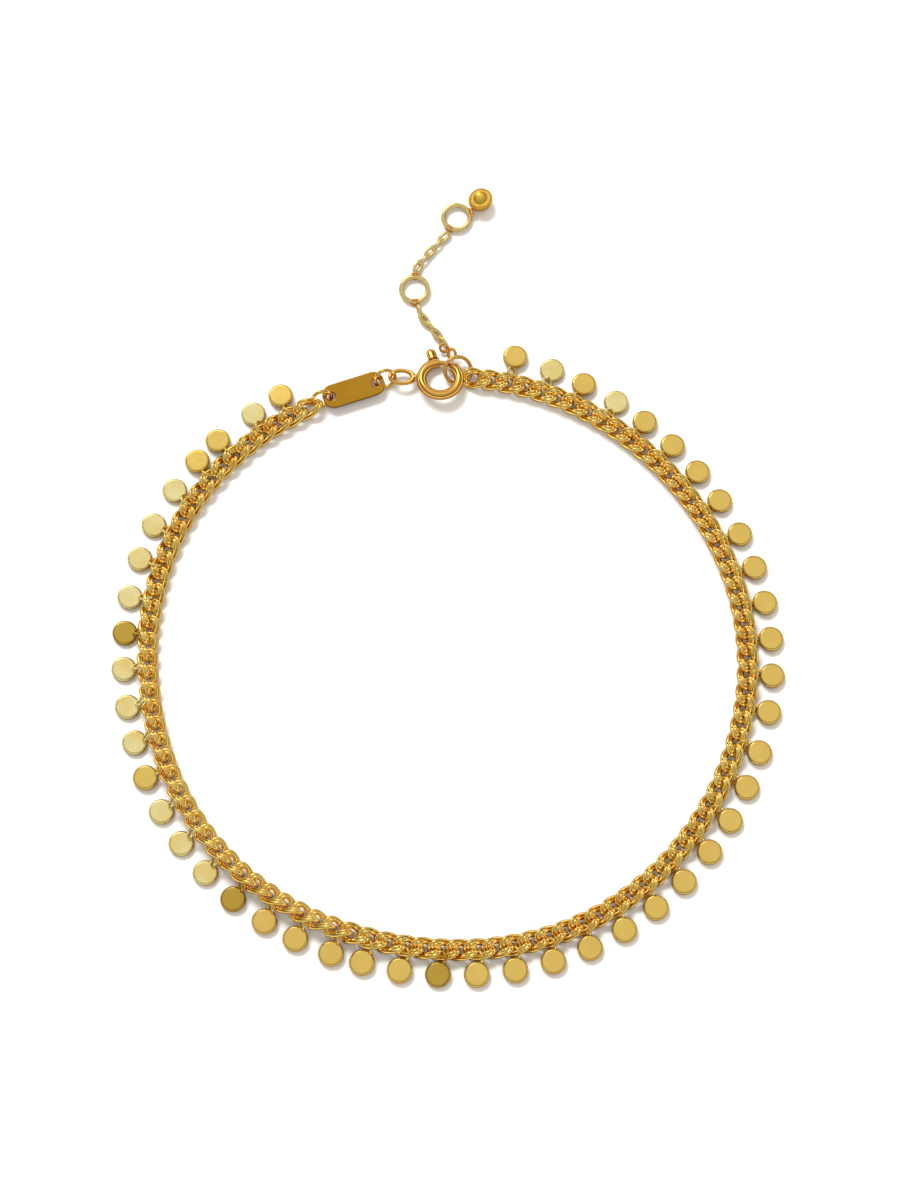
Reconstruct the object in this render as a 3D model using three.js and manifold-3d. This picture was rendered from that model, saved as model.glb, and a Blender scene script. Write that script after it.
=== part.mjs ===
// A charm anklet lying flat: a curb chain with round disc charms on every second link, a bare tag
// plate, a spring ring clasp, and an extender with two sizing rings and a ball.
// Millimetres, +Z up. While it is built, the chain loop's centre is the origin and z = 0 is the
// surface that it lies on; at the end the whole is moved so that its box stands on the origin.

import * as THREE from "three";
import { mergeVertices } from "three/addons/utils/BufferGeometryUtils.js";
import Module from "manifold-3d";

const wasm = await Module();
wasm.setup();

// ---- Driving dimensions ----

// The loop seen from above: a circle with a few low bulges. Bearings are degrees from +X.
const loop = { radius: 36.7, firstBearing: 85.8, lastBearing: -243.4 };
const bulges = [
  { lobes: 2, height: 0.33, bearing: -30 },
  { lobes: 4, height: 0.1, bearing: 45 },
  { lobes: 5, height: 0.14, bearing: 6 },
];

// The tube holds the links' bodies. Its ends stop short of the end links' tips.
const chain = { links: 98, width: 2.2, thickness: 1.8, corner: 0.5, endInset: 0.6, steps: 78 };

// reach: from the chain's centreline to the disc's centre. tilt: how far a charm lying face up
// leans outwards, because its loop is under its inner edge.
const charm = {
  count: 48, firstLink: 3, radius: 1.55, thickness: 0.8, sides: 16, reach: 3, tilt: 7,
};
const charmLoop = { radius: 0.5, wire: 0.36, sunk: 0.08 };

// How the charms lie. swing: degrees from square to the chain, towards the chain's far end.
const charmStretches = [
  { last: 1, swing: -3, extraReach: 0.7 },
  { last: 2, swing: 0, extraReach: 0.35 },
  { last: 4, swing: -5, extraReach: 0.1 },
  { last: 8, swing: -9, extraReach: 0 },
  { last: 14, swing: -3, extraReach: 0 },
  { last: 18, swing: 8, extraReach: 0 },
  { last: 28, swing: 11, extraReach: 0 },
  { last: 30, swing: -3, extraReach: 0 },
  { last: 38, swing: -10, extraReach: 0 },
  { last: 41, swing: -6, extraReach: 0 },
  { last: 43, swing: 1, extraReach: 0 },
  { last: 45, swing: 10, extraReach: 0 },
  { last: 46, swing: -9, extraReach: 0 },
  { last: 47, swing: 10, extraReach: 0 },
  { last: 48, swing: 0, extraReach: 0.1 },
];
const charmsFaceDown = new Set([2, 4, 33, 34, 35, 37, 38, 39, 40, 41, 42, 43, 44, 47]);

const plate = {
  x: -11.7, y: 34.7, bearing: 18.5,
  length: 8, width: 3.1, thickness: 0.5, corner: 1.35, bottom: 0.85,
  holeInset: 1.05, holeRadius: 0.58,
};

// The spring ring. Its bearings are about its own axis, which leans back by lean.
const clasp = {
  x: -0.82, y: 36.12, z: 1.27, lean: 12,
  radius: 2.38, tubeRadius: 0.63, boreRadius: 0.42,
  gapFrom: 45, gapTo: 93, slotFrom: 99, slotTo: 160, slotHeight: 0.56,
};
const eye = {
  bearing: 176.5, distance: 4.86, halfLength: 1.45, halfWidth: 0.95,
  wire: 0.52, neckLength: 1.1, neckRadius: 0.36,
};
const trigger = {
  boltRadius: 0.3, tipBearing: 39, heelBearing: 120, lugBearing: 107,
  pinRadius: 0.2, lugStart: 3.12, lugWidth: 1.2, lugLength: 1.5, lugThickness: 0.7,
};

// Each ring's centre, which way its upper edge leans or rises, and by how much from flat.
const rings = {
  plate_ring_left: { x: -15.66, y: 33.47, z: 1.34, radius: 1.22, wire: 0.46, towards: 108.5, rise: 65 },
  plate_ring_right: { x: -7.75, y: 36.12, z: 1.33, radius: 1.28, wire: 0.46, towards: 106.5, rise: 57 },
  end_ring: { x: 1.41, y: 37.39, z: 0.97, radius: 1.7, wire: 0.48, towards: 119.5, rise: 25 },
  extender_ring_a: { x: -4.1, y: 48.49, z: 0.57, radius: 1.68, wire: 0.54, towards: 90, rise: 0 },
  extender_ring_b: { x: 1.24, y: 58.33, z: 0.57, radius: 1.68, wire: 0.54, towards: 90, rise: 0 },
};

// The fine chain's routes, from the end ring to the first sizing ring and on to the second.
const fineChain = { radius: 0.45, sides: 8 };
const routeA = [
  [0.6, 39.4, 1.3], [0.35, 40.1, 0.9], [-0.1, 40.85, 0.6], [-0.7, 41.65, 0.5],
  [-1.45, 42.65, 0.5], [-2.5, 43.85, 0.5], [-3.25, 44.9, 0.5], [-3.65, 46.1, 0.5],
];
const routeB = [
  [-3.95, 50.95, 0.5], [-3.75, 51.7, 0.5], [-3.05, 52.5, 0.5], [-2.35, 53.3, 0.5],
  [-1.4, 54.45, 0.5], [-0.6, 55.4, 0.5], [0.15, 56.05, 0.5],
];

// The ball is a little longer along its own axis, which points away from its ring.
const bead = {
  x: 4.29, y: 60.4, radius: 1.44, halfLength: 1.58, loopRadius: 0.3, loopWire: 0.3, loopGap: 0.12,
};

// ---- Materials ----

function metal(name, color, roughness) {
  const material = new THREE.MeshStandardMaterial({ color, roughness, metalness: 1 });
  material.name = name;
  return material;
}

const chainGold = metal("chain gold", 0xd9912e, 0.2);
const polishedGold = metal("polished gold", 0xc98f1f, 0.15);
const satinGold = metal("satin gold", 0xdebb62, 0.35);
const paleGold = metal("pale gold", 0xe6cf7d, 0.45);

// ---- Solids ----

const radians = THREE.MathUtils.degToRad;

function solid(geometry) {
  const bare = geometry.clone();
  bare.deleteAttribute("normal");
  bare.deleteAttribute("uv");
  const merged = mergeVertices(bare, 1e-4);
  return new wasm.Manifold(new wasm.Mesh({
    numProp: 3,
    vertProperties: new Float32Array(merged.attributes.position.array),
    triVerts: new Uint32Array(merged.index.array),
  }));
}

function geometryOf(manifold) {
  const mesh = manifold.getMesh();
  const geometry = new THREE.BufferGeometry();
  geometry.setAttribute("position", new THREE.BufferAttribute(mesh.vertProperties, 3));
  geometry.setIndex(new THREE.BufferAttribute(mesh.triVerts, 1));
  geometry.computeVertexNormals();
  return geometry;
}

function part(name, geometry, material) {
  const mesh = new THREE.Mesh(geometry, material);
  mesh.name = name;
  return mesh;
}

function circleShape(radius) {
  const shape = new THREE.Shape();
  shape.absarc(0, 0, radius, 0, 2 * Math.PI);
  return shape;
}

function sweep(shape, path, steps, sides) {
  return new THREE.ExtrudeGeometry(shape, {
    steps, extrudePath: path, bevelEnabled: false, curveSegments: sides / 2,
  });
}

// A stretch of a circle in the XY plane, swept by a round or square section.
class Arc extends THREE.Curve {
  constructor(radius, fromBearing, toBearing) {
    super();
    this.radius = radius;
    this.from = radians(fromBearing);
    this.to = radians(toBearing);
  }

  getPoint(t, target = new THREE.Vector3()) {
    const angle = this.from + (this.to - this.from) * t;
    return target.set(Math.cos(angle), Math.sin(angle), 0).multiplyScalar(this.radius);
  }
}

// ---- The chain's route ----

class LoopRoute extends THREE.Curve {
  constructor() {
    super();
    this.arcLengthDivisions = 1600;
  }

  getPoint(t, target = new THREE.Vector3()) {
    const bearing = radians(loop.firstBearing + (loop.lastBearing - loop.firstBearing) * t);
    let radius = loop.radius;
    for (const bulge of bulges) {
      radius += bulge.height * Math.cos(bulge.lobes * (bearing - radians(bulge.bearing)));
    }
    return target.set(
      radius * Math.cos(bearing), radius * Math.sin(bearing), chain.thickness / 2);
  }
}

const route = new LoopRoute();
const routeLength = route.getLength();
const linkPitch = routeLength / chain.links;

// The part of the route that the tube follows.
class TubeRoute extends THREE.Curve {
  getPoint(t, target = new THREE.Vector3()) {
    const inset = chain.endInset / routeLength;
    return target.copy(route.getPointAt(inset + (1 - 2 * inset) * t));
  }
}

function curbChain() {
  const high = chain.thickness / 2;
  const wide = chain.width / 2;
  const cut = chain.corner;
  const section = new THREE.Shape([
    new THREE.Vector2(high, wide - cut), new THREE.Vector2(high - cut, wide),
    new THREE.Vector2(cut - high, wide), new THREE.Vector2(-high, wide - cut),
    new THREE.Vector2(-high, cut - wide), new THREE.Vector2(cut - high, -wide),
    new THREE.Vector2(high - cut, -wide), new THREE.Vector2(high, cut - wide),
  ]);
  return part("curb_chain", sweep(section, new TubeRoute(), chain.steps, 8), chainGold);
}

// ---- Charms ----

// Face up, centred on its back, with the chain towards -X.
function charmGeometry() {
  const disc = new THREE.CylinderGeometry(
    charm.radius, charm.radius, charm.thickness, charm.sides);
  disc.rotateX(Math.PI / 2);
  disc.translate(0, 0, charm.thickness / 2);
  const ring = new THREE.TorusGeometry(charmLoop.radius, charmLoop.wire / 2, 6, 10);
  const ringHalfHeight = (charmLoop.wire / 2) * Math.sin(Math.PI / 3);
  ring.translate(
    charmLoop.radius + charmLoop.wire / 2 - charm.radius, 0, charmLoop.sunk - ringHalfHeight);
  return geometryOf(solid(disc).add(solid(ring)));
}

function charmNode(number, geometry) {
  const stretch = charmStretches.find((row) => number <= row.last);
  const link = charm.firstLink + 2 * (number - 1);
  const along = ((link - 0.5) * linkPitch) / routeLength;
  const anchor = route.getPointAt(along);
  const tangent = route.getTangentAt(along);
  const outwards = Math.atan2(tangent.x, -tangent.y);
  const faceDown = charmsFaceDown.has(number);

  const mesh = part(
    `charm_${String(number).padStart(2, "0")}`, geometry, faceDown ? paleGold : satinGold);
  mesh.position.x = charm.reach + stretch.extraReach;
  if (faceDown) {
    mesh.rotation.x = Math.PI;
    mesh.position.z = charm.thickness;
  } else {
    mesh.rotation.y = radians(charm.tilt);
    mesh.position.z = charm.radius * Math.sin(radians(charm.tilt));
  }
  const holder = new THREE.Group();
  holder.position.set(anchor.x, anchor.y, 0);
  holder.rotation.z = outwards - radians(stretch.swing);
  holder.add(mesh);
  return holder;
}

// ---- Tag plate ----

function tagPlate() {
  const x = plate.length / 2;
  const y = plate.width / 2;
  const r = plate.corner;
  const outline = new THREE.Shape();
  outline.absarc(x - r, y - r, r, 0, Math.PI / 2);
  outline.absarc(r - x, y - r, r, Math.PI / 2, Math.PI);
  outline.absarc(r - x, r - y, r, Math.PI, 1.5 * Math.PI);
  outline.absarc(x - r, r - y, r, 1.5 * Math.PI, 2 * Math.PI);
  for (const side of [-1, 1]) {
    const hole = new THREE.Path();
    hole.absarc(side * (x - plate.holeInset), 0, plate.holeRadius, 0, 2 * Math.PI);
    outline.holes.push(hole);
  }
  const geometry = new THREE.ExtrudeGeometry(outline, {
    depth: plate.thickness, bevelEnabled: false, curveSegments: 6,
  });
  const mesh = part("tag_plate", geometry, polishedGold);
  mesh.position.set(plate.x, plate.y, plate.bottom);
  mesh.rotation.z = radians(plate.bearing);
  return mesh;
}

// ---- Rings ----

function ringNode(name, row, material) {
  const mesh = part(name, new THREE.TorusGeometry(row.radius, row.wire / 2, 8, 20), material);
  mesh.rotation.y = -radians(row.rise);
  const holder = new THREE.Group();
  holder.position.set(row.x, row.y, row.z);
  holder.rotation.z = radians(row.towards);
  holder.add(mesh);
  return holder;
}

// ---- Spring ring clasp ----

function claspBody() {
  const from = clasp.gapTo;
  const to = clasp.gapFrom + 360;
  const shell = solid(sweep(
    circleShape(clasp.tubeRadius), new Arc(clasp.radius, from, to), 26, 10));
  const bore = solid(sweep(
    circleShape(clasp.boreRadius), new Arc(clasp.radius, from - 10, to + 10), 28, 8));
  const slotWall = new THREE.Shape();
  slotWall.moveTo(-clasp.slotHeight / 2, 0);
  slotWall.lineTo(clasp.slotHeight / 2, 0);
  slotWall.lineTo(clasp.slotHeight / 2, 2 * clasp.tubeRadius);
  slotWall.lineTo(-clasp.slotHeight / 2, 2 * clasp.tubeRadius);
  const slot = solid(sweep(
    slotWall, new Arc(clasp.radius, clasp.slotTo, clasp.slotFrom), 6, 2));

  const ring = new THREE.TorusGeometry(1, eye.wire / 2, 8, 20);
  const points = ring.attributes.position;
  for (let i = 0; i < points.count; i += 1) {
    const angle = Math.atan2(points.getY(i), points.getX(i));
    points.setX(i, points.getX(i) + (eye.halfLength - 1) * Math.cos(angle));
    points.setY(i, points.getY(i) + (eye.halfWidth - 1) * Math.sin(angle));
  }
  ring.translate(eye.distance, 0, 0);
  const neck = new THREE.CylinderGeometry(
    eye.neckRadius, eye.neckRadius, eye.neckLength, 8);
  neck.rotateZ(Math.PI / 2);
  neck.translate(clasp.radius + eye.neckLength / 2, 0, 0);
  ring.rotateZ(radians(eye.bearing));
  neck.rotateZ(radians(eye.bearing));

  const whole = shell.add(solid(ring)).add(solid(neck)).subtract(bore).subtract(slot);
  return part("clasp_body", geometryOf(whole), polishedGold);
}

function claspTrigger() {
  const bolt = solid(sweep(
    circleShape(trigger.boltRadius),
    new Arc(clasp.radius, trigger.tipBearing, trigger.heelBearing), 9, 8));
  const pinLength = trigger.lugStart + 0.2 - clasp.radius;
  const pin = new THREE.CylinderGeometry(trigger.pinRadius, trigger.pinRadius, pinLength, 8);
  pin.rotateZ(Math.PI / 2);
  pin.translate(clasp.radius + pinLength / 2, 0, 0);
  const half = trigger.lugWidth / 2;
  const outline = new THREE.Shape();
  outline.moveTo(0, -half);
  outline.lineTo(trigger.lugLength - half, -half);
  outline.absarc(trigger.lugLength - half, 0, half, -Math.PI / 2, Math.PI / 2);
  outline.lineTo(0, half);
  const paddle = new THREE.ExtrudeGeometry(outline, {
    depth: trigger.lugThickness, bevelEnabled: false, curveSegments: 6,
  });
  paddle.translate(trigger.lugStart, 0, -trigger.lugThickness / 2);
  pin.rotateZ(radians(trigger.lugBearing));
  paddle.rotateZ(radians(trigger.lugBearing));
  const whole = bolt.add(solid(pin)).add(solid(paddle));
  return part("clasp_trigger", geometryOf(whole), polishedGold);
}

function claspNodes() {
  const holder = new THREE.Group();
  holder.position.set(clasp.x, clasp.y, clasp.z);
  holder.rotation.x = -radians(clasp.lean);
  holder.add(claspBody(), claspTrigger());
  return holder;
}

// ---- Extender ----

function fineChainNode(name, points) {
  const path = new THREE.CatmullRomCurve3(points.map((point) => new THREE.Vector3(...point)));
  const steps = points.length + 1;
  const geometry = sweep(circleShape(fineChain.radius), path, steps, fineChain.sides);
  return part(name, geometry, paleGold);
}

function beadDrop() {
  const holdRing = rings.extender_ring_b;
  const away = new THREE.Vector2(bead.x - holdRing.x, bead.y - holdRing.y);
  const ball = new THREE.SphereGeometry(bead.radius, 16, 10);
  ball.rotateX(Math.PI / 2);
  ball.scale(bead.halfLength / bead.radius, 1, 1);
  const loopOut = away.length() - holdRing.radius - holdRing.wire / 2
    - bead.loopGap - bead.loopRadius - bead.loopWire / 2;
  const ring = new THREE.TorusGeometry(bead.loopRadius, bead.loopWire / 2, 6, 12);
  ring.rotateX(Math.PI / 2);
  ring.translate(-loopOut, 0, 0);
  const geometry = geometryOf(solid(ball).add(solid(ring)));
  const mesh = part("bead_drop", geometry, polishedGold);
  mesh.position.set(bead.x, bead.y, bead.radius);
  mesh.rotation.z = away.angle();
  return mesh;
}

// ---- The whole anklet ----

const anklet = new THREE.Group();
anklet.add(curbChain());
const charmShape = charmGeometry();
for (let number = 1; number <= charm.count; number += 1) {
  anklet.add(charmNode(number, charmShape));
}
anklet.add(tagPlate(), claspNodes());
for (const [name, row] of Object.entries(rings)) {
  anklet.add(ringNode(name, row, name.startsWith("extender") ? paleGold : chainGold));
}
anklet.add(fineChainNode("extender_chain_a", routeA), fineChainNode("extender_chain_b", routeB));
anklet.add(beadDrop());

const box = new THREE.Box3().setFromObject(anklet, true);
const centre = box.getCenter(new THREE.Vector3());
anklet.position.set(-centre.x, -centre.y, -box.min.z);

export default anklet;
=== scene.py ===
"""A charm anklet on a white surface: curb chain, disc charms, tag plate, spring ring and extender.

Shapes are worked out in millimetres from the loop's centre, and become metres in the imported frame
when a mesh is made.
"""

import math
import random

import bpy
import numpy as np
from mathutils import Matrix, Vector


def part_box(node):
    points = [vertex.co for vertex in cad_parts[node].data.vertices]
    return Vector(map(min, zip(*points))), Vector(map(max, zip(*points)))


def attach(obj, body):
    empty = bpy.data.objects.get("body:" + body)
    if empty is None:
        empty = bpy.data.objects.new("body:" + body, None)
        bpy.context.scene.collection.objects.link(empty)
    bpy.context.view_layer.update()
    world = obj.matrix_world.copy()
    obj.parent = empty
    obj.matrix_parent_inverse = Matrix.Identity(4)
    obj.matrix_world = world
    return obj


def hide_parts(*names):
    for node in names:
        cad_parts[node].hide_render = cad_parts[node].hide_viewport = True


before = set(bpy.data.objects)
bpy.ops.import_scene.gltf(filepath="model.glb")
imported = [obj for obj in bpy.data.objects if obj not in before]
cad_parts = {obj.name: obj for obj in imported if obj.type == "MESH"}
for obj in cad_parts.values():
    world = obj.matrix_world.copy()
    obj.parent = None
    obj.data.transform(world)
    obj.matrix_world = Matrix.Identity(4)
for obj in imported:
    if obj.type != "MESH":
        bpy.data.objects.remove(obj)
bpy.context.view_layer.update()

MM = 0.001
ROOT = "anklet"
TAU = 2 * math.pi

# ---- Driving sizes, in millimetres and degrees ----

LOOP = {"radius": 36.7, "first_bearing": 85.8, "last_bearing": -243.4}
BULGES = [
    {"lobes": 2, "height": 0.33, "bearing": -30},
    {"lobes": 4, "height": 0.1, "bearing": 45},
    {"lobes": 5, "height": 0.14, "bearing": 6},
]

# Every link is a pair of ovals, one inside the other. lift leaves room for the links' small rolls.
LINK = {
    "count": 98, "length": 4, "width": 2.7, "thickness": 2.1, "wire": 0.5, "apart": 0.4,
    "lift": 0.04,
}
# Where the chain lies rolled about its own line, and the small random turns of each link.
ROLL = {"angle": 38, "from_bearing": -118, "to_bearing": -176, "ease": 22}
SHAKE = {"seed": 7, "heading": 1.5, "roll": 3}

CHARM = {
    "count": 48, "first_link": 3, "radius": 1.55, "thickness": 0.8, "reach": 3, "tilt": 7,
    "round": 0.3,
}
# How the charms hang, up to the last one of each stretch.
CHARM_STRETCHES = [
    {"last": 1, "swing": -3, "extra_reach": 0.7},
    {"last": 2, "swing": 0, "extra_reach": 0.35},
    {"last": 4, "swing": -5, "extra_reach": 0.1},
    {"last": 8, "swing": -9, "extra_reach": 0},
    {"last": 14, "swing": -3, "extra_reach": 0},
    {"last": 18, "swing": 8, "extra_reach": 0},
    {"last": 28, "swing": 11, "extra_reach": 0},
    {"last": 30, "swing": -3, "extra_reach": 0},
    {"last": 38, "swing": -10, "extra_reach": 0},
    {"last": 41, "swing": -6, "extra_reach": 0},
    {"last": 43, "swing": 1, "extra_reach": 0},
    {"last": 45, "swing": 10, "extra_reach": 0},
    {"last": 46, "swing": -9, "extra_reach": 0},
    {"last": 47, "swing": 10, "extra_reach": 0},
    {"last": 48, "swing": 0, "extra_reach": 0.1},
]
CHARMS_FACE_DOWN = {2, 4, 33, 34, 35, 37, 38, 39, 40, 41, 42, 43, 44, 47}
# These discs get a darker copy of the satin gold, as painted shade.
CHARMS_PAINTED_SHADE = {26, 32, 40}
# Where a charm's loop meets its disc: how far in from the rim, and how far above it.
CHARM_LOOP = {"wire": 0.36, "twist": 40, "largest": 0.8, "slack": 0.02}
LOOP_ON_BACK = {"inwards": 0.3, "above": 0.1}
LOOP_ON_FACE = {"inwards": 0.12, "above": 0.05}

PLATE = {
    "x": -11.7, "y": 34.7, "bearing": 18.5, "length": 8, "width": 3.1, "thickness": 0.5,
    "corner": 1.35, "bottom": 0.85, "hole_inset": 1.05, "hole_radius": 0.58, "bevel": 0.09,
}

CLASP = {
    "x": -0.82, "y": 36.12, "z": 1.27, "lean": 12, "radius": 2.38, "tube": 0.63, "bore": 0.42,
    "gap_from": 45, "gap_to": 93, "slot_from": 99, "slot_to": 160, "slot_height": 0.56,
}
EYE = {
    "bearing": 176.5, "distance": 4.86, "half_length": 1.45, "half_width": 0.95, "wire": 0.52,
    "root_wire": 0.72, "neck_start": 0.4, "neck_end": 1.25, "neck_root": 0.55, "neck_tip": 0.36,
}
TRIGGER = {
    "bolt": 0.3, "tip_bearing": 39, "heel_bearing": 120, "lug_bearing": 107, "pin": 0.2,
    "pin_inside": 0.2, "lug_start": 3.12, "lug_width": 1.2, "lug_length": 1.5,
    "lug_thickness": 0.7, "lug_taper": 0.5,
}

# The sizing rings' wire is a little thicker here than in the part.
RINGS = {
    "plate_ring_left": {
        "x": -15.66, "y": 33.47, "z": 1.34, "radius": 1.22, "wire": 0.46, "towards": 108.5, "rise": 65},
    "plate_ring_right": {
        "x": -7.75, "y": 36.12, "z": 1.33, "radius": 1.28, "wire": 0.46, "towards": 106.5, "rise": 57},
    "end_ring": {
        "x": 1.41, "y": 37.39, "z": 0.97, "radius": 1.7, "wire": 0.48, "towards": 119.5, "rise": 25},
    "extender_ring_a": {
        "x": -4.1, "y": 48.49, "z": 0.57, "radius": 1.68, "wire": 0.6, "towards": 90, "rise": 0},
    "extender_ring_b": {
        "x": 1.24, "y": 58.33, "z": 0.57, "radius": 1.68, "wire": 0.6, "towards": 90, "rise": 0},
}

# The fine chain's stretches, from the small rings at one end to the small ring at the other.
EXTENDER_CHAINS = {
    "extender_chain_a": {
        "first_turn": 100,
        "route": [
            (-0.1, 40.85, 0.6), (-0.7, 41.65, 0.5), (-1.45, 42.65, 0.5), (-2.5, 43.85, 0.5),
            (-3.25, 44.9, 0.5), (-3.65, 46.1, 0.5),
        ]},
    "extender_chain_b": {
        "first_turn": 20,
        "route": [
            (-3.95, 50.95, 0.5), (-3.75, 51.7, 0.5), (-3.05, 52.5, 0.5), (-2.35, 53.3, 0.5),
            (-1.4, 54.45, 0.5), (-0.6, 55.4, 0.5), (0.15, 56.05, 0.5),
        ]},
}
CABLE = {"length": 2.15, "width": 1.18, "wire": 0.44, "pitch": 1.3, "lift": 0.09}
# The small rings that join the fine chains to the larger rings, and the ball to its ring.
CONNECTORS = {
    "extender_chain_a": [
        {"x": 0.62, "y": 39.6, "z": 1.05, "radius": 0.6, "wire": 0.4, "towards": 35, "rise": 50},
        {"x": -0.36, "y": 40.5, "z": 0.76, "radius": 0.5, "wire": 0.36, "towards": 120, "rise": 25},
        {"x": -4.0, "y": 46.7, "z": 0.57, "radius": 0.46, "wire": 0.28, "towards": 96, "rise": 62},
    ],
    "extender_chain_b": [
        {"x": -4.02, "y": 50.28, "z": 0.57, "radius": 0.46, "wire": 0.28, "towards": 84, "rise": 62},
        {"x": 0.28, "y": 56.8, "z": 0.57, "radius": 0.46, "wire": 0.28, "towards": 50, "rise": 62},
    ],
    "bead_drop": [
        {"x": 2.98, "y": 58.9, "z": 0.75, "radius": 0.46, "wire": 0.3, "towards": 48, "rise": 45},
    ],
}

BEAD = {"x": 4.29, "y": 60.4, "radius": 1.44, "half_length": 1.58}

# How finely each round is drawn: the steps along it and the sides around it.
FINENESS = {
    "link": {"steps": 40, "sides": 12},
    "disc": {"steps": 5, "sides": 56},
    "charm_loop": {"steps": 32, "sides": 12},
    "ring": {"steps": 72, "sides": 20},
    "clasp_tube": {"steps": 120, "sides": 28},
    "eye": {"steps": 56, "sides": 18},
    "neck": {"steps": 8, "sides": 24},
    "bolt": {"steps": 39, "sides": 18},
    "pin": {"sides": 14},
    "lug": {"steps": 13, "sides": 24},
    "cable_link": {"steps": 28, "sides": 10},
    "connector": {"steps": 40, "sides": 14},
    "bead": {"steps": 28, "sides": 48},
}

# The surface that the anklet lies on is the frame's z = 0, and one ring's node gives the loop's
# centre in it.
ring_low, ring_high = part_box("extender_ring_a")
ring_row = RINGS["extender_ring_a"]
LOOP_CENTRE = (ring_low + ring_high) / (2 * MM) - Vector((ring_row["x"], ring_row["y"], ring_row["z"]))


# ---- Materials ----

def material(name):
    made = bpy.data.materials.new(name)
    made.use_nodes = True
    return made, made.node_tree, made.node_tree.nodes["Principled BSDF"]


def noise(tree, coordinates, scale, detail, roughness=0.5):
    node = tree.nodes.new("ShaderNodeTexNoise")
    node.inputs["Scale"].default_value = scale
    node.inputs["Detail"].default_value = detail
    node.inputs["Roughness"].default_value = roughness
    tree.links.new(coordinates, node.inputs["Vector"])
    return node


def mapped(tree, value, from_low, from_high, to_low, to_high, smooth=True):
    """Maps one range to another, with eased ends where smooth."""
    node = tree.nodes.new("ShaderNodeMapRange")
    if smooth:
        node.interpolation_type = "SMOOTHSTEP"
    node.inputs["From Min"].default_value = from_low
    node.inputs["From Max"].default_value = from_high
    node.inputs["To Min"].default_value = to_low
    node.inputs["To Max"].default_value = to_high
    tree.links.new(value, node.inputs["Value"])
    return node.outputs["Result"]


NOISE_MIDDLE = (0.3, 0.7)


def spread(tree, noise_node, low, high):
    """Maps a noise's middle range to the range from low to high."""
    return mapped(tree, noise_node.outputs["Fac"], *NOISE_MIDDLE, low, high, smooth=False)


def blended(tree, factor, first, second):
    """Two colours mixed by a factor; each is a colour or a socket."""
    node = tree.nodes.new("ShaderNodeMix")
    node.data_type = "RGBA"
    tree.links.new(factor, node.inputs["Factor"])
    for name, value in (("A", first), ("B", second)):
        if isinstance(value, tuple):
            node.inputs[name].default_value = (*value, 1)
        else:
            tree.links.new(value, node.inputs[name])
    return node.outputs["Result"]


# The colour drifts to deep_colour in patches as wide as DRIFT. The roughness goes from smooth to
# rough over grains of the size grain, which stand bump high. Sizes are in millimetres.
GOLDS = {
    "chain_gold": {
        "colour": (1.0, 0.75, 0.22), "deep_colour": (0.98, 0.6, 0.13),
        "smooth": 0.02, "rough": 0.07, "grain": 0.3, "bump": 0.003},
    "polished_gold": {
        "colour": (0.9, 0.51, 0.11), "deep_colour": (0.85, 0.43, 0.075),
        "smooth": 0.02, "rough": 0.05, "grain": 0.5, "bump": 0.001},
    # The tag plate's gold is painted far darker than the other golds: painted shade for the dark that
    # its mirror-flat face takes from the room.
    "plate_gold_painted_shade": {
        "colour": (0.56, 0.29, 0.028), "deep_colour": (0.52, 0.26, 0.022),
        "smooth": 0.08, "rough": 0.14, "grain": 0.4, "bump": 0.001},
    "satin_gold": {
        "colour": (0.93, 0.65, 0.16), "deep_colour": (0.89, 0.6, 0.14),
        "smooth": 0.14, "rough": 0.22, "grain": 0.18, "bump": 0.004},
    # A darker copy of the satin gold, the same in roughness and grain: painted shade.
    "satin_gold_painted_shade": {
        "colour": (0.66, 0.43, 0.075), "deep_colour": (0.6, 0.38, 0.055),
        "smooth": 0.14, "rough": 0.22, "grain": 0.18, "bump": 0.004},
    "back_gold": {
        "colour": (1.0, 0.88, 0.42), "deep_colour": (0.95, 0.72, 0.24),
        "smooth": 0.14, "rough": 0.34, "grain": 0.16, "bump": 0.016},
    "bead_gold": {
        "colour": (0.98, 0.64, 0.11), "deep_colour": (0.94, 0.56, 0.08),
        "smooth": 0.3, "rough": 0.36, "grain": 0.5, "bump": 0.002},
    # A darker, more orange copy of the chain's gold for the plate rings and end ring: painted shade.
    "ring_gold_painted_shade": {
        "colour": (0.95, 0.6, 0.15), "deep_colour": (0.9, 0.5, 0.1),
        "smooth": 0.03, "rough": 0.08, "grain": 0.3, "bump": 0.002},
    # A darker, more orange gold for the small rings: painted shade for the gold light they throw on each
    # other.
    "connector_gold_painted_shade": {
        "colour": (0.9, 0.47, 0.1), "deep_colour": (0.86, 0.4, 0.07),
        "smooth": 0.05, "rough": 0.12, "grain": 0.3, "bump": 0.003},
    "pale_gold": {
        "colour": (0.95, 0.76, 0.32), "deep_colour": (0.88, 0.66, 0.22),
        "smooth": 0.1, "rough": 0.2, "grain": 0.3, "bump": 0.003},
}
DRIFT = 2.5


def gold(name):
    """A gold plating: its colour drifts from place to place, and it is finely grained."""
    row = GOLDS[name]
    made, tree, shader = material(name)
    place = tree.nodes.new("ShaderNodeTexCoord").outputs["Object"]
    drift = noise(tree, place, 1 / (DRIFT * MM), detail=2)
    colour = blended(tree, spread(tree, drift, 0, 1), row["colour"], row["deep_colour"])
    tree.links.new(colour, shader.inputs["Base Color"])

    fine = noise(tree, place, 1 / (row["grain"] * MM), detail=4, roughness=0.6)
    tree.links.new(spread(tree, fine, row["smooth"], row["rough"]), shader.inputs["Roughness"])
    relief = tree.nodes.new("ShaderNodeBump")
    relief.inputs["Distance"].default_value = row["bump"] * MM
    tree.links.new(fine.outputs["Fac"], relief.inputs["Height"])
    tree.links.new(relief.outputs["Normal"], shader.inputs["Normal"])
    shader.inputs["Metallic"].default_value = 1
    return made


FINISHES = {name: gold(name) for name in GOLDS}


# ---- Meshes ----

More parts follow.
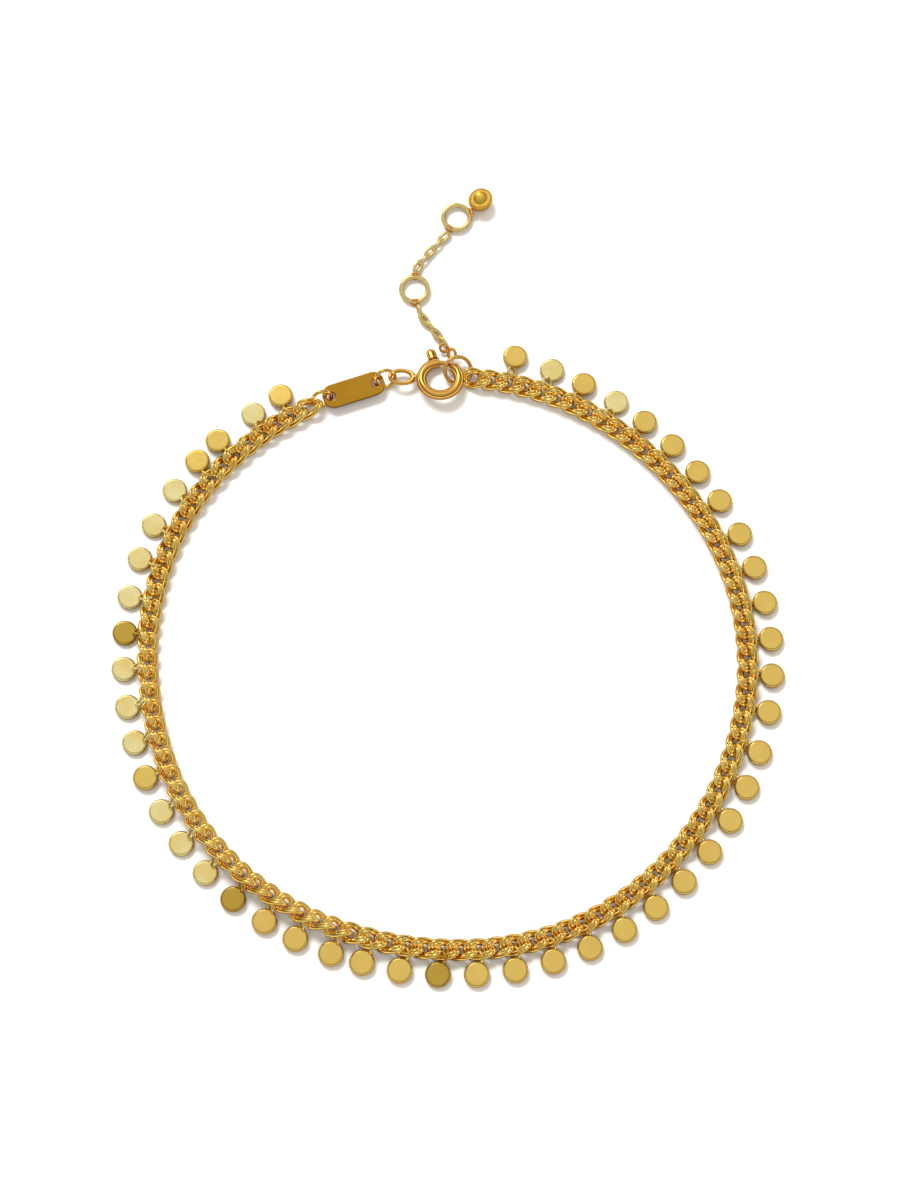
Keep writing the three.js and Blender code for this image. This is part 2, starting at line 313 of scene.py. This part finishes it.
def mesh_object(name, shapes, *finishes):
    """One object from shapes, each a (points, faces, finish number) in millimetres. finishes names
    the golds."""
    points = []
    faces = []
    numbers = []
    for shape_points, shape_faces, number in shapes:
        start = len(points)
        points.extend((Vector(point) + LOOP_CENTRE) * MM for point in shape_points)
        faces.extend([index + start for index in face] for face in shape_faces)
        numbers.extend([number] * len(shape_faces))
    mesh = bpy.data.meshes.new(name)
    mesh.from_pydata(points, [], faces)
    for finish in finishes:
        mesh.materials.append(FINISHES[finish])
    mesh.polygons.foreach_set("material_index", numbers)
    mesh.polygons.foreach_set("use_smooth", [True] * len(faces))
    mesh.update()
    made = bpy.data.objects.new(name, mesh)
    bpy.context.scene.collection.objects.link(made)
    return made


def placed(shape, matrix):
    points, faces, number = shape
    return [matrix @ Vector(point) for point in points], faces, number


def grid_faces(rows, sides, rows_close):
    """Faces between rows of points, each row a closed round of sides points."""
    faces = []
    for i in range(rows if rows_close else rows - 1):
        for j in range(sides):
            next_i = (i + 1) % rows
            next_j = (j + 1) % sides
            faces.append([
                i * sides + next_j, next_i * sides + next_j, next_i * sides + j, i * sides + j])
    return faces


def tube_faces(rows, sides, closed):
    faces = grid_faces(rows, sides, closed)
    if not closed:
        faces.append(list(range(sides)))
        faces.append([(rows - 1) * sides + j for j in reversed(range(sides))])
    return faces


def wire(path, radius, sides, closed, finish=0):
    """A round wire along path, which is never upright. radius is one number, or one for each
    point."""
    count = len(path)
    radii = radius if isinstance(radius, (list, tuple)) else [radius] * count
    points = []
    for i, centre in enumerate(path):
        before = path[i - 1] if closed or i > 0 else path[i]
        after = path[(i + 1) % count] if closed or i < count - 1 else path[i]
        along = (Vector(after) - Vector(before)).normalized()
        across = along.cross(Vector((0, 0, 1))).normalized()
        up = across.cross(along)
        for j in range(sides):
            angle = TAU * j / sides
            points.append(
                Vector(centre) + radii[i] * (math.cos(angle) * across + math.sin(angle) * up))
    return points, tube_faces(count, sides, closed), finish


def lathe(profile, sides):
    """Turns a profile of (radius, height), which starts and ends on the axis, about Z."""
    inner = profile[1:-1]
    points = [(0, 0, profile[0][1])]
    for radius, height in inner:
        for j in range(sides):
            angle = TAU * j / sides
            points.append((radius * math.cos(angle), radius * math.sin(angle), height))
    points.append((0, 0, profile[-1][1]))
    last = len(points) - 1
    faces = [[index + 1 for index in face] for face in grid_faces(len(inner), sides, False)]
    top = 1 + (len(inner) - 1) * sides
    for j in range(sides):
        next_j = (j + 1) % sides
        faces.append([0, 1 + next_j, 1 + j])
        faces.append([last, top + j, top + next_j])
    return points, faces, 0


def circle(radius, count, first=0.0, last=360.0, closed=True):
    steps = count if closed else count - 1
    angles = [math.radians(first + (last - first) * i / steps) for i in range(count)]
    return [(radius * math.cos(angle), radius * math.sin(angle), 0) for angle in angles]


def hoop(radius, thickness, kind, finish=0):
    """A closed ring of wire about Z, as fine as its kind in FINENESS."""
    fineness = FINENESS[kind]
    return wire(circle(radius, fineness["steps"]), thickness / 2, fineness["sides"], True, finish)


def turn(axis, degrees):
    return Matrix.Rotation(math.radians(degrees), 4, axis)


def stands_for(made, node, body=ROOT):
    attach(made, body)
    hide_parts(node)


# ---- The chain's route ----

def loop_point(bearing):
    angle = math.radians(bearing)
    radius = LOOP["radius"]
    for bulge in BULGES:
        radius += bulge["height"] * math.cos(bulge["lobes"] * (angle - math.radians(bulge["bearing"])))
    return np.array([radius * math.cos(angle), radius * math.sin(angle)])


ROUTE_STEPS = 1600
route_bearings = np.linspace(LOOP["first_bearing"], LOOP["last_bearing"], ROUTE_STEPS + 1)
route_points = np.array([loop_point(bearing) for bearing in route_bearings])
route_steps = np.linalg.norm(np.diff(route_points, axis=0), axis=1)
route_lengths = np.concatenate([[0], np.cumsum(route_steps)])
LINK_PITCH = route_lengths[-1] / LINK["count"]


def link_place(number):
    """A link's centre on the surface, its direction along the route, and its bearing."""
    distance = (number - 0.5) * LINK_PITCH
    bearing = float(np.interp(distance, route_lengths, route_bearings))
    step = 0.05
    along = loop_point(bearing - step) - loop_point(bearing + step)
    direction = math.degrees(math.atan2(along[1], along[0]))
    return Vector((*loop_point(bearing), 0)), direction, bearing


def roll_at(bearing):
    """How far the chain is rolled at a bearing, easing in and out of the rolled stretch."""
    def eased(amount):
        amount = min(max(amount, 0), 1)
        return amount * amount * (3 - 2 * amount)
    rising = eased((ROLL["from_bearing"] + ROLL["ease"] - bearing) / ROLL["ease"])
    falling = eased((bearing - ROLL["to_bearing"] + ROLL["ease"]) / ROLL["ease"])
    return ROLL["angle"] * rising * falling


# ---- Curb chain ----

# How thick a pair of ovals is, and the middle line between the two.
PAIR = LINK["wire"] + LINK["apart"]
HALF_LINK = (LINK["length"] - PAIR) / 2
HALF_WIDTH = (LINK["width"] - PAIR) / 2
HALF_TWIST = (LINK["thickness"] - PAIR) / 2


def link_path(outwards):
    """An oval, twisted so that its two ends lean the same way round. outwards makes it larger."""
    path = []
    steps = FINENESS["link"]["steps"]
    for i in range(steps):
        angle = TAU * i / steps
        path.append((
            (HALF_LINK + outwards) * math.cos(angle), (HALF_WIDTH + outwards) * math.sin(angle),
            -HALF_TWIST * math.sin(2 * angle),
        ))
    return path


def link_pair():
    sides = FINENESS["link"]["sides"]
    paths = [link_path(side * LINK["apart"] / 2) for side in (-1, 1)]
    return [wire(path, LINK["wire"] / 2, sides, True) for path in paths]


def line_height(roll):
    """The height of the chain's line where rolled links rest on the surface."""
    angle = math.radians(roll)
    path = link_path(LINK["apart"] / 2)
    lowest = min(z * math.cos(angle) + y * math.sin(angle) for _x, y, z in path)
    return LINK["wire"] / 2 - lowest + LINK["lift"]


def curb_chain():
    shake = random.Random(SHAKE["seed"])
    pair = link_pair()
    links = []
    for number in range(1, LINK["count"] + 1):
        centre, direction, bearing = link_place(number)
        roll = roll_at(bearing)
        centre.z = line_height(roll)
        lie = (
            Matrix.Translation(centre)
            @ turn("Z", direction + shake.uniform(-SHAKE["heading"], SHAKE["heading"]))
            @ turn("X", roll + shake.uniform(-SHAKE["roll"], SHAKE["roll"]))
        )
        links.extend(placed(oval, lie) for oval in pair)
    stands_for(mesh_object("curb_links", links, "chain_gold"), "curb_chain")


# ---- Charms ----

def charm_disc():
    """A disc lying face up, centred on its back, with rounded rims."""
    radius = CHARM["radius"]
    depth = CHARM["thickness"]
    rim = CHARM["round"]
    steps = FINENESS["disc"]["steps"]
    # A round of points just inside each rounding keeps the flats flat when they are shaded.
    flat = radius - rim - 0.02
    profile = [(0, 0), (flat, 0)]
    for first, height in ((-90, rim), (0, depth - rim)):
        for i in range(steps + 1):
            angle = math.radians(first + 90 * i / steps)
            profile.append((radius - rim + rim * math.cos(angle), height + rim * math.sin(angle)))
    profile += [(flat, depth), (0, depth)]
    return lathe(profile, FINENESS["disc"]["sides"])


def charm_loop(strand, target):
    """A ring about the link's strand whose far side meets the target, both (out, height)."""
    span = Vector((target[0] - strand[0], 0, target[1] - strand[1]))
    hold = (PAIR + CHARM_LOOP["wire"]) / 2 + CHARM_LOOP["slack"]
    radius = min((span.length + hold) / 2, CHARM_LOOP["largest"])
    outwards = span.normalized()
    centre = Vector((strand[0], 0, strand[1])) + outwards * (span.length - radius)
    fall = -math.degrees(math.atan2(outwards.z, outwards.x))
    lie = Matrix.Translation(centre) @ turn("Y", fall) @ turn("X", 90 - CHARM_LOOP["twist"])
    loop = placed(hoop(radius, CHARM_LOOP["wire"], "charm_loop"), lie)
    # A loop that would sink into the surface is raised onto it.
    sunk = max(-min(point.z for point in loop[0]), 0)
    return placed(loop, Matrix.Translation((0, 0, sunk)))


def charm(number, disc):
    stretch = next(row for row in CHARM_STRETCHES if number <= row["last"])
    anchor, direction, bearing = link_place(CHARM["first_link"] + 2 * (number - 1))
    reach = CHARM["reach"] + stretch["extra_reach"]
    face_down = number in CHARMS_FACE_DOWN
    tilt = math.radians(CHARM["tilt"])
    if face_down:
        lie = Matrix.Translation((reach, 0, CHARM["thickness"])) @ turn("X", 180)
        rim_height = CHARM["thickness"]
        meeting = LOOP_ON_BACK
    else:
        lift = CHARM["radius"] * math.sin(tilt)
        lie = Matrix.Translation((reach, 0, lift)) @ turn("Y", CHARM["tilt"])
        rim_height = 2 * lift
        meeting = LOOP_ON_FACE
    target = (reach - CHARM["radius"] + meeting["inwards"], rim_height + meeting["above"])
    roll = roll_at(bearing)
    rise = HALF_WIDTH * math.sin(math.radians(roll))
    strand = (HALF_WIDTH * math.cos(math.radians(roll)), line_height(roll) + rise)
    shapes = [placed(disc, lie), charm_loop(strand, target)]

    # From +X outwards to the charm's own direction, about its link.
    spin = Matrix.Translation(anchor) @ turn("Z", direction + 90 - stretch["swing"])
    finish = "back_gold" if face_down else "satin_gold"
    # A few discs get the satin gold painted darker, as painted shade.
    if number in CHARMS_PAINTED_SHADE:
        finish = "satin_gold_painted_shade"
    name = f"charm_{number:02d}"
    made = mesh_object(f"{name}_disc", [placed(shape, spin) for shape in shapes], finish)
    stands_for(made, name)


# ---- Flat plates with rounded edges ----

def plate_object(name, outlines, thickness, bevel, lie, finish):
    """A flat plate from closed outlines, the first its rim and the rest its holes. lie places its
    middle plane."""
    curve = bpy.data.curves.new(name, "CURVE")
    curve.dimensions = "2D"
    curve.fill_mode = "BOTH"
    curve.extrude = (thickness / 2 - bevel) * MM
    curve.bevel_depth = bevel * MM
    curve.bevel_resolution = 3
    curve.offset = -bevel * MM
    for outline in outlines:
        spline = curve.splines.new("POLY")
        spline.points.add(len(outline) - 1)
        spline.use_cyclic_u = True
        for point, (x, y) in zip(spline.points, outline):
            point.co = (x * MM, y * MM, 0, 1)
    holder = bpy.data.objects.new(name, curve)
    bpy.context.scene.collection.objects.link(holder)
    bpy.context.view_layer.update()
    mesh = bpy.data.meshes.new_from_object(holder.evaluated_get(bpy.context.evaluated_depsgraph_get()))
    bpy.data.objects.remove(holder)
    shift = Matrix.Translation(LOOP_CENTRE * MM)
    lie_metres = lie.copy()
    lie_metres.translation = lie.translation * MM
    mesh.transform(shift @ lie_metres)
    mesh.materials.clear()
    mesh.materials.append(FINISHES[finish])
    made = bpy.data.objects.new(name, mesh)
    bpy.context.scene.collection.objects.link(made)
    return made


def arc(x, y, radius, first, last, steps):
    angles = [math.radians(first + (last - first) * i / steps) for i in range(steps + 1)]
    return [(x + radius * math.cos(angle), y + radius * math.sin(angle)) for angle in angles]


def tag_plate():
    x = PLATE["length"] / 2 - PLATE["corner"]
    y = PLATE["width"] / 2 - PLATE["corner"]
    rim = (
        arc(x, y, PLATE["corner"], 0, 90, 12) + arc(-x, y, PLATE["corner"], 90, 180, 12)
        + arc(-x, -y, PLATE["corner"], 180, 270, 12) + arc(x, -y, PLATE["corner"], 270, 360, 12)
    )
    hole_x = PLATE["length"] / 2 - PLATE["hole_inset"]
    hole = circle(PLATE["hole_radius"], 30)
    holes = [[(side * hole_x + point[0], point[1]) for point in hole] for side in (-1, 1)]
    middle = PLATE["bottom"] + PLATE["thickness"] / 2
    lie = Matrix.Translation((PLATE["x"], PLATE["y"], middle)) @ turn("Z", PLATE["bearing"])
    # The plate gets its gold painted dark, as painted shade.
    made = plate_object(
        "tag_plate_polished", [rim] + holes, PLATE["thickness"], PLATE["bevel"], lie, "plate_gold_painted_shade")
    stands_for(made, "tag_plate")


# ---- Rings ----

def ring_lie(row):
    return (
        Matrix.Translation((row["x"], row["y"], row["z"]))
        @ turn("Z", row["towards"]) @ turn("Y", -row["rise"])
    )


def rings():
    for name, row in RINGS.items():
        pale = name.startswith("extender")
        ring = placed(hoop(row["radius"], row["wire"], "ring"), ring_lie(row))
        # The extender rings are pale gold; the other rings get a darker, more orange gold, as painted
        # shade.
        made = mesh_object(f"{name}_wire", [ring], "pale_gold" if pale else "ring_gold_painted_shade")
        stands_for(made, name)


# ---- Spring ring clasp ----

CLASP_LIE = Matrix.Translation((CLASP["x"], CLASP["y"], CLASP["z"])) @ turn("X", -CLASP["lean"])


def clasp_shell():
    """The clasp's tube: open at the gap, bored through, with a slot along its outer side."""
    turns = FINENESS["clasp_tube"]["steps"]
    sides = FINENESS["clasp_tube"]["sides"]
    first = CLASP["gap_to"]
    last = CLASP["gap_from"] + 360
    half_slot = CLASP["slot_height"] / 2
    outer = []
    inner = []
    for i in range(turns + 1):
        bearing = math.radians(first + (last - first) * i / turns)
        for j in range(sides):
            angle = TAU * (j + 0.5) / sides
            for points, radius in ((outer, CLASP["tube"]), (inner, CLASP["bore"])):
                out = CLASP["radius"] + radius * math.cos(angle)
                points.append((
                    out * math.cos(bearing), out * math.sin(bearing), radius * math.sin(angle)))

    def is_solid(i, j):
        if not 0 <= i < turns:
            return False
        bearing = first + (last - first) * (i + 0.5) / turns
        angle = TAU * (j % sides + 1) / sides
        outer_side = math.cos(angle) > 0 and abs(CLASP["tube"] * math.sin(angle)) < half_slot
        return not (outer_side and CLASP["slot_from"] < bearing < CLASP["slot_to"])

    shift = len(outer)
    faces = []
    for i in range(turns):
        for j in range(sides):
            if not is_solid(i, j):
                continue
            next_j = (j + 1) % sides
            corners = [i * sides + j, (i + 1) * sides + j, (i + 1) * sides + next_j, i * sides + next_j]
            faces.append(corners)
            faces.append([corner + shift for corner in reversed(corners)])
            neighbours = [(i, j - 1), (i + 1, j), (i, j + 1), (i - 1, j)]
            for side, (next_row, next_column) in enumerate(neighbours):
                if not is_solid(next_row, next_column):
                    start = corners[side]
                    end = corners[(side + 1) % 4]
                    faces.append([end, start, start + shift, end + shift])
    return outer + inner, faces, 0


def eye_and_neck():
    """The oval eye opposite the gap, and the neck that joins it to the tube."""
    thicker = (EYE["root_wire"] - EYE["wire"]) / 2
    path = []
    radii = []
    steps = FINENESS["eye"]["steps"]
    for i in range(steps):
        angle = TAU * i / steps
        path.append((
            EYE["distance"] + EYE["half_length"] * math.cos(angle),
            EYE["half_width"] * math.sin(angle), 0))
        radii.append(EYE["wire"] / 2 + thicker * max(-math.cos(angle), 0) ** 2)
    oval = wire(path, radii, FINENESS["eye"]["sides"], True)

    start = CLASP["radius"] + EYE["neck_start"]
    end = CLASP["radius"] + EYE["neck_end"]
    steps = FINENESS["neck"]["steps"]
    neck_path = [(start + (end - start) * i / steps, 0, 0) for i in range(steps + 1)]
    neck_radii = [
        EYE["neck_tip"] + (EYE["neck_root"] - EYE["neck_tip"]) * (1 - i / steps) ** 2
        for i in range(steps + 1)
    ]
    neck = wire(neck_path, neck_radii, FINENESS["neck"]["sides"], False)
    return [placed(shape, turn("Z", EYE["bearing"])) for shape in (oval, neck)]


def clasp():
    shapes = [clasp_shell()] + eye_and_neck()
    body = mesh_object("clasp_ring", [placed(shape, CLASP_LIE) for shape in shapes], "polished_gold")
    stands_for(body, "clasp_body")


def thumb_lug():
    """A tab with a rounded end, lofted from flattened rounds."""
    half = TRIGGER["lug_width"] / 2
    # The end is a sliver and not a point.
    least_width = 0.02
    least_to_end = 0.004
    steps = FINENESS["lug"]["steps"]
    sides = FINENESS["lug"]["sides"]
    points = []
    for i in range(steps + 1):
        along = i / steps
        x = TRIGGER["lug_start"] + along * TRIGGER["lug_length"]
        to_end = (1 - along) * TRIGGER["lug_length"]
        width = half
        if to_end < half:
            width = math.sqrt(max(half ** 2 - (half - to_end) ** 2, least_width ** 2))
        thinning = min(1, math.sqrt(max(to_end, least_to_end) / TRIGGER["lug_taper"]))
        depth = TRIGGER["lug_thickness"] / 2 * thinning
        for j in range(sides):
            angle = TAU * j / sides
            points.append((x, width * math.cos(angle), depth * math.sin(angle)))
    lug = (points, tube_faces(steps + 1, sides, False), 0)
    return placed(lug, turn("Z", TRIGGER["lug_bearing"]))


def trigger():
    """The bolt, and the pin that joins it to the lug through the tube's slot."""
    bolt_path = circle(
        CLASP["radius"], FINENESS["bolt"]["steps"] + 1, TRIGGER["tip_bearing"],
        TRIGGER["heel_bearing"], closed=False)
    bolt = wire(bolt_path, TRIGGER["bolt"], FINENESS["bolt"]["sides"], False)
    pin_path = [(CLASP["radius"], 0, 0), (TRIGGER["lug_start"] + TRIGGER["pin_inside"], 0, 0)]
    pin = wire(pin_path, TRIGGER["pin"], FINENESS["pin"]["sides"], False)
    pin = placed(pin, turn("Z", TRIGGER["lug_bearing"]))
    shapes = [placed(shape, CLASP_LIE) for shape in (bolt, pin, thumb_lug())]
    made = mesh_object("clasp_bolt_and_lug", shapes, "polished_gold")
    stands_for(made, "clasp_trigger", body="trigger")


# ---- Extender ----

def smooth_path(corners, spacing):
    """Points about spacing apart, evenly set along a smooth curve through the corners."""
    steps = 20
    corners = np.array(corners, float)
    ends = np.vstack([2 * corners[0] - corners[1], corners, 2 * corners[-1] - corners[-2]])
    fine = []
    for a, b, c, d in zip(ends, ends[1:], ends[2:], ends[3:]):
        for t in np.linspace(0, 1, steps, endpoint=False):
            fine.append(0.5 * (
                2 * b + (c - a) * t + (2 * a - 5 * b + 4 * c - d) * t ** 2
                + (3 * b - a - 3 * c + d) * t ** 3))
    fine.append(corners[-1])
    fine = np.array(fine)
    lengths = np.concatenate([[0], np.cumsum(np.linalg.norm(np.diff(fine, axis=0), axis=1))])
    count = max(round(lengths[-1] / spacing), 1)
    wanted = np.linspace(0, lengths[-1], count + 1)
    return [Vector([np.interp(w, lengths, fine[:, k]) for k in range(3)]) for w in wanted]


def cable_link():
    long = (CABLE["length"] - CABLE["wire"]) / 2
    wide = (CABLE["width"] - CABLE["wire"]) / 2
    path = [(long * x, wide * y, 0) for x, y, _z in circle(1, FINENESS["cable_link"]["steps"])]
    return wire(path, CABLE["wire"] / 2, FINENESS["cable_link"]["sides"], True)


def cable_chain(route, first_turn):
    """Links along a route, each a quarter turn from the last one."""
    link = cable_link()
    joints = smooth_path(route, CABLE["pitch"])
    lift = Vector((0, 0, CABLE["lift"]))
    links = []
    for number, (start, end) in enumerate(zip(joints, joints[1:])):
        along = (end - start).normalized()
        heading = along.to_track_quat("X", "Z").to_matrix().to_4x4()
        turned = first_turn + 90 * (number % 2)
        links.append(placed(
            link, Matrix.Translation((start + end) / 2 + lift) @ heading @ turn("X", turned)))
    return links


def connectors(node):
    """The small rings of a node, as the second of its object's finishes."""
    return [
        placed(hoop(row["radius"], row["wire"], "connector", finish=1), ring_lie(row))
        for row in CONNECTORS[node]
    ]


def extender_chains():
    for node, row in EXTENDER_CHAINS.items():
        shapes = cable_chain(row["route"], row["first_turn"]) + connectors(node)
        # The small rings get the darker, more orange gold, as painted shade.
        made = mesh_object(f"{node}_links", shapes, "pale_gold", "connector_gold_painted_shade")
        stands_for(made, node)


def bead():
    holder = RINGS["extender_ring_b"]
    steps = FINENESS["bead"]["steps"]
    profile = []
    for i in range(steps + 1):
        angle = math.pi * i / steps
        profile.append((BEAD["radius"] * math.sin(angle), -BEAD["half_length"] * math.cos(angle)))
    heading = math.degrees(math.atan2(BEAD["y"] - holder["y"], BEAD["x"] - holder["x"]))
    centre = Matrix.Translation((BEAD["x"], BEAD["y"], BEAD["radius"]))
    ball = placed(lathe(profile, FINENESS["bead"]["sides"]), centre @ turn("Z", heading) @ turn("Y", 90))
    shapes = [ball] + connectors("bead_drop")
    # The ball's small ring gets the darker, more orange gold, as painted shade.
    made = mesh_object("bead_ball", shapes, "bead_gold", "connector_gold_painted_shade")
    stands_for(made, "bead_drop")


# ---- Studio ----

CAMERA = {"elevation": 73.4, "distance": 411, "x": 0.4, "y": 7.3, "z": 0.75, "lens": 100}


def aim(made, place, target):
    made.location = place
    made.rotation_euler = (Vector(target) - Vector(place)).to_track_quat("-Z", "Y").to_euler()


def camera():
    lens = bpy.data.cameras.new("camera")
    lens.lens = CAMERA["lens"]
    lens.clip_start = 0.01
    made = bpy.data.objects.new("camera", lens)
    bpy.context.scene.collection.objects.link(made)
    target = (LOOP_CENTRE + Vector((CAMERA["x"], CAMERA["y"], CAMERA["z"]))) * MM
    elevation = math.radians(CAMERA["elevation"])
    offset = Vector((0, -math.cos(elevation), math.sin(elevation))) * CAMERA["distance"] * MM
    aim(made, target + offset, target)
    bpy.context.scene.camera = made


# A wide area light at the back left, in metres and watts. The metal doesn't show its shape.
KEY_LIGHT = {"place": (-0.23, 0.45, 0.66), "width": 0.4, "depth": 0.2, "power": 6.2}


def key_light():
    light = bpy.data.lights.new("key_light", "AREA")
    light.shape = "RECTANGLE"
    light.size = KEY_LIGHT["width"]
    light.size_y = KEY_LIGHT["depth"]
    light.energy = KEY_LIGHT["power"]
    made = bpy.data.objects.new("key_light", light)
    made.visible_glossy = False
    bpy.context.scene.collection.objects.link(made)
    aim(made, KEY_LIGHT["place"], (0, 0, 0))


# Levels by height from the horizon to straight up: a dark foot, a bright band, a dark gap, grey walls.
WALLS = [
    {"height": 0, "level": 0.05},
    {"height": 0.06, "level": 0.06},
    {"height": 0.11, "level": 2},
    {"height": 0.25, "level": 2},
    {"height": 0.32, "level": 0.12},
    {"height": 0.52, "level": 0.12},
    {"height": 0.7, "level": 0.46},
]
# Bright panels: the direction of the middle, how far the panel stretches sideways (less is wider),
# the cosines of the angles to its edge and to its full brightness, and its level.
CEILING = {"toward": (0, 0.28, 0.96), "narrowing": 1, "edge": 0.86, "full": 0.93, "level": 0.8}
WINDOW = {"toward": (-0.3, 0.68, 0.67), "narrowing": 0.5, "edge": 0.985, "full": 0.995, "level": 4}
# What the matt floor gets from all round, and how pale it is to the camera and in the metal, where it is
# painted darker and warmer as painted shade.
FILL = (0.77, 0.72, 0.66)
FLOOR = {"half": 1.5, "seen": (0.93, 0.93, 0.93), "mirrored_painted_shade": (0.36, 0.33, 0.28)}


def panel(tree, direction, row, behind):
    """Adds a bright panel to the colours behind it."""
    narrowed = tree.nodes.new("ShaderNodeVectorMath")
    narrowed.operation = "MULTIPLY"
    narrowed.inputs[1].default_value = (row["narrowing"], 1, 1)
    tree.links.new(direction, narrowed.inputs[0])
    unit = tree.nodes.new("ShaderNodeVectorMath")
    unit.operation = "NORMALIZE"
    tree.links.new(narrowed.outputs["Vector"], unit.inputs[0])
    near = tree.nodes.new("ShaderNodeVectorMath")
    near.operation = "DOT_PRODUCT"
    tree.links.new(unit.outputs["Vector"], near.inputs[0])
    x, y, z = row["toward"]
    near.inputs[1].default_value = Vector((x * row["narrowing"], y, z)).normalized()
    inside = mapped(tree, near.outputs["Value"], row["edge"], row["full"], 0, 1)
    return blended(tree, inside, behind, (row["level"],) * 3)


def light_tent():
    """What the metal mirrors: grey walls with a bright band, a ceiling and a window at the back left.
    The matt floor gets an even fill instead, and the camera sees white."""
    world = bpy.data.worlds.new("light_tent")
    world.use_nodes = True
    tree = world.node_tree
    direction = tree.nodes.new("ShaderNodeTexCoord").outputs["Generated"]
    parts = tree.nodes.new("ShaderNodeSeparateXYZ")
    tree.links.new(direction, parts.inputs["Vector"])
    walls = tree.nodes.new("ShaderNodeValToRGB")
    tree.links.new(parts.outputs["Z"], walls.inputs["Fac"])
    stops = walls.color_ramp.elements
    stops.remove(stops[1])
    for row in WALLS:
        stop = stops[0] if row["height"] == 0 else stops.new(row["height"])
        stop.color = (row["level"], row["level"], row["level"], 1)
    tent = panel(tree, direction, CEILING, walls.outputs["Color"])
    tent = panel(tree, direction, WINDOW, tent)
    rays = tree.nodes.new("ShaderNodeLightPath")
    tent = blended(tree, rays.outputs["Is Diffuse Ray"], tent, FILL)
    tent = blended(tree, rays.outputs["Is Camera Ray"], tent, (1, 1, 1))
    tree.links.new(tent, tree.nodes["Background"].inputs["Color"])
    bpy.context.scene.world = world


def floor():
    half = FLOOR["half"]
    corners = [(-half, -half, 0), (half, -half, 0), (half, half, 0), (-half, half, 0)]
    mesh = bpy.data.meshes.new("floor")
    mesh.from_pydata(corners, [], [[0, 1, 2, 3]])
    white, tree, shader = material("floor_white")
    rays = tree.nodes.new("ShaderNodeLightPath")
    # Glossy rays see the floor painted darker and warmer: painted shade in the metal.
    colour = blended(tree, rays.outputs["Is Glossy Ray"], FLOOR["seen"], FLOOR["mirrored_painted_shade"])
    tree.links.new(colour, shader.inputs["Base Color"])
    shader.inputs["Roughness"].default_value = 0.9
    shader.inputs["Specular IOR Level"].default_value = 0
    mesh.materials.append(white)
    made = bpy.data.objects.new("floor", mesh)
    bpy.context.scene.collection.objects.link(made)


def studio():
    light_tent()
    key_light()
    floor()
    bpy.context.scene.view_settings.view_transform = "Standard"


camera()
studio()
curb_chain()
plain_disc = charm_disc()
for charm_number in range(1, CHARM["count"] + 1):
    charm(charm_number, plain_disc)
tag_plate()
rings()
clasp()
trigger()
extender_chains()
bead()
